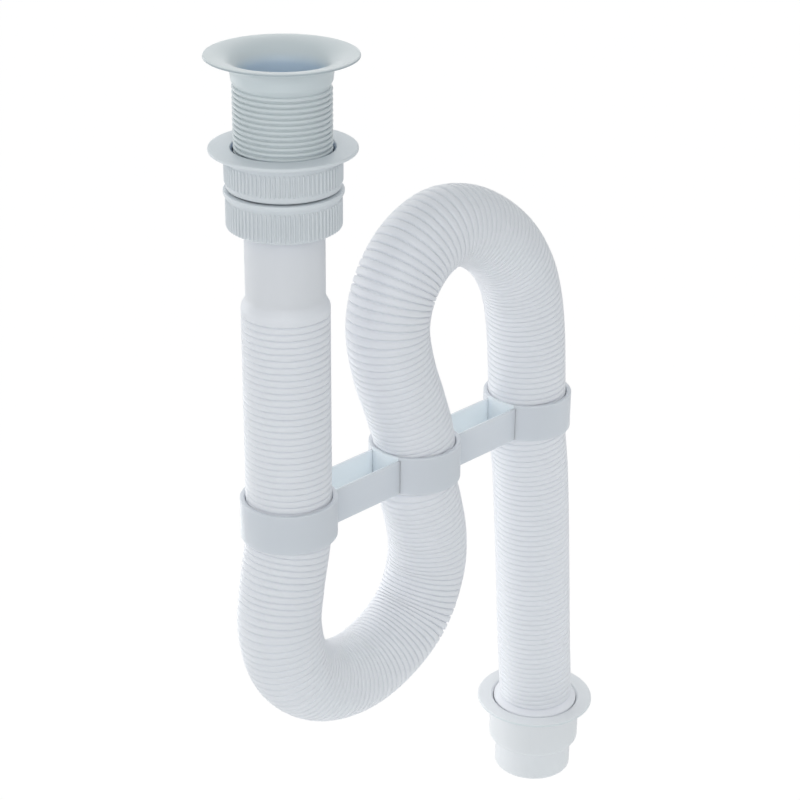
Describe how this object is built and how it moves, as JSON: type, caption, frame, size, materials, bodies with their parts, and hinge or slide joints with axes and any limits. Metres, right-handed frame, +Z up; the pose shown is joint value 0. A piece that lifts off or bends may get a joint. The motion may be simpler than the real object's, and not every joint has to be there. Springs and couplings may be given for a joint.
{
  "type": "flexible sink trap",
  "caption": "White plastic basin waste with a ribbed backnut, union nut and corrugated flexible hose, bent as an S and held by a triple ring clip, ending in a stepped outlet fitting.",
  "frame": {"origin": "centre of the waste's rim, in the plane of its top edge", "axes": "+Z up along the waste's axis, out of the drain; +X from the waste towards the outlet, in the plane of the hose; +Y across the hose"},
  "size_m": [0.2434, 0.065, 0.4315],
  "materials": {
    "waste_plastic": "satin white moulded plastic",
    "nut_plastic": "satin white moulded plastic",
    "hose_plastic": "soft white blown plastic with a slight sheen",
    "clip_plastic": "satin white moulded plastic",
    "outlet_plastic": "satin white moulded plastic",
    "seal_rubber": "plain grey rubber"
  },
  "bodies": {
    "waste": {"waste_outlet": "waste_plastic"},
    "backnut": {"backnut": "nut_plastic"},
    "seal": {"union_seal": "seal_rubber"},
    "union_nut": {"union_nut": "nut_plastic"},
    "hose": {"hose": "hose_plastic", "clip": "clip_plastic"},
    "outlet": {"outlet_fitting": "outlet_plastic"}
  },
  "joints": [
    {"name": "backnut_travel", "type": "slide", "parent": "waste", "child": "backnut", "axis": [0, 0, 1], "range_m": [0, 0.0272]},
    {"name": "union_travel", "type": "slide", "parent": "waste", "child": "seal", "axis": [0, 0, -1], "range_m": [0, 0.0094]},
    {"name": "union_turn", "type": "hinge", "parent": "seal", "child": "union_nut", "pos_m": [0, 0, -0.0661], "axis": [0, 0, 1], "range_deg": [-1470, 0]},
    {"name": "hose_swivel", "type": "hinge", "parent": "seal", "child": "hose", "pos_m": [0, 0, -0.0713], "axis": [0, 0, 1], "continuous": true},
    {"name": "outlet_turn", "type": "hinge", "parent": "hose", "child": "outlet", "pos_m": [0.1801, 0, -0.3996], "axis": [0, 0, 1], "continuous": true}
  ],
  "couplings": [
    {"joint": "union_turn", "follows": "union_travel", "rad_per_m": -2721.2}
  ]
}
